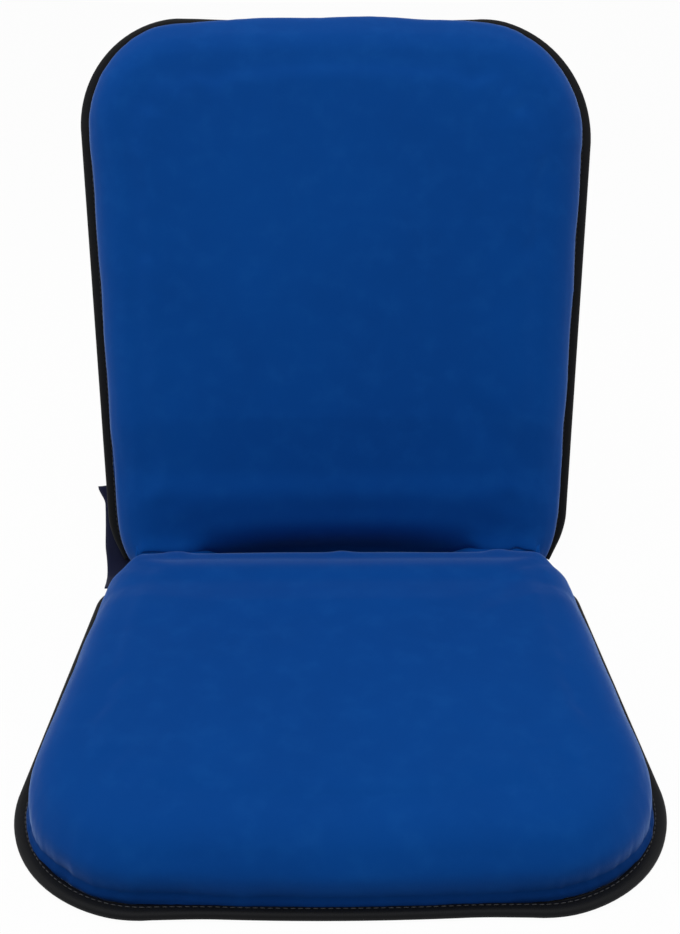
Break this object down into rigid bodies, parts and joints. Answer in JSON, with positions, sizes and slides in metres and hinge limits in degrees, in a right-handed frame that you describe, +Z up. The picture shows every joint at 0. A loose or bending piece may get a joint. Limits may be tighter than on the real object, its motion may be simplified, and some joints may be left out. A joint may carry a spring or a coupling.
{
  "type": "folding floor chair",
  "caption": "Legless floor chair with a padded seat and back on tube frames, joined by side ratchet hinges that fold it closed or let it recline flat.",
  "frame": {"origin": "middle of the seat's flat underside, on the surface that the chair rests on", "axes": "+Z up, -Y towards the seat's front edge, +X to the right as seen from the front"},
  "size_m": [0.4392, 0.5541, 0.4654],
  "materials": {
    "cover_cloth": "smooth blue cloth",
    "rear_cloth": "navy cloth",
    "base_cloth": "black non-slip cloth",
    "binding": "black binding tape",
    "foam": "open-cell foam",
    "webbing": "elastic webbing",
    "frame_paint": "black powder coat",
    "zinc_plate": "zinc plated",
    "hardened_steel": "hardened steel",
    "spring_steel": "spring steel"
  },
  "bodies": {
    "seat": {"seat_frame_tube": "frame_paint", "seat_cross_tube": "frame_paint", "seat_webbing": "webbing", "seat_foam": "foam", "seat_cover": "cover_cloth", "seat_base_panel": "base_cloth", "seat_binding": "binding", "hinge_outer_plate_left": "zinc_plate", "hinge_outer_plate_right": "zinc_plate", "hinge_inner_plate_left": "zinc_plate", "hinge_inner_plate_right": "zinc_plate", "hinge_pin_left": "zinc_plate", "hinge_pin_right": "zinc_plate", "pawl_pin_left": "zinc_plate", "pawl_pin_right": "zinc_plate", "pawl_spring_left": "spring_steel", "pawl_spring_right": "spring_steel", "spring_post_left": "zinc_plate", "spring_post_right": "zinc_plate", "seat_rivets": "zinc_plate", "crease_cloth": "cover_cloth", "rear_flap": "rear_cloth"},
    "back": {"back_frame_tube": "frame_paint", "back_cross_tube": "frame_paint", "back_webbing": "webbing", "back_foam": "foam", "back_cover": "cover_cloth", "back_rear_panel": "rear_cloth", "back_binding": "binding", "ratchet_arm_left": "zinc_plate", "ratchet_arm_right": "zinc_plate", "back_rivets": "zinc_plate"},
    "pawl_left": {"pawl_left": "hardened_steel"},
    "release_cam_left": {"release_cam_left": "hardened_steel"},
    "pawl_right": {"pawl_right": "hardened_steel"},
    "release_cam_right": {"release_cam_right": "hardened_steel"}
  },
  "joints": [
    {"name": "back_recline", "type": "hinge", "parent": "seat", "child": "back", "pos_m": [0, 0.1865, 0.03], "axis": [-1, 0, 0], "range_deg": [-72, 72], "deforming": ["crease_cloth", "rear_flap"]},
    {"name": "cam_turn_left", "type": "hinge", "parent": "seat", "child": "release_cam_left", "pos_m": [0, 0.1865, 0.03], "axis": [-1, 0, 0], "range_deg": [0, 40]},
    {"name": "pawl_swing_left", "type": "hinge", "parent": "seat", "child": "pawl_left", "pos_m": [0, 0.18119, 0.0102], "axis": [-1, 0, 0], "range_deg": [0, 13.51]},
    {"name": "cam_turn_right", "type": "hinge", "parent": "seat", "child": "release_cam_right", "pos_m": [0, 0.1865, 0.03], "axis": [-1, 0, 0], "range_deg": [0, 40]},
    {"name": "pawl_swing_right", "type": "hinge", "parent": "seat", "child": "pawl_right", "pos_m": [0, 0.18119, 0.0102], "axis": [-1, 0, 0], "range_deg": [0, 13.51]}
  ],
  "couplings": [
    {"joint": "pawl_swing_left", "follows": "cam_turn_left", "ratio": 0.33774},
    {"joint": "pawl_swing_right", "follows": "cam_turn_right", "ratio": 0.33774}
  ]
}
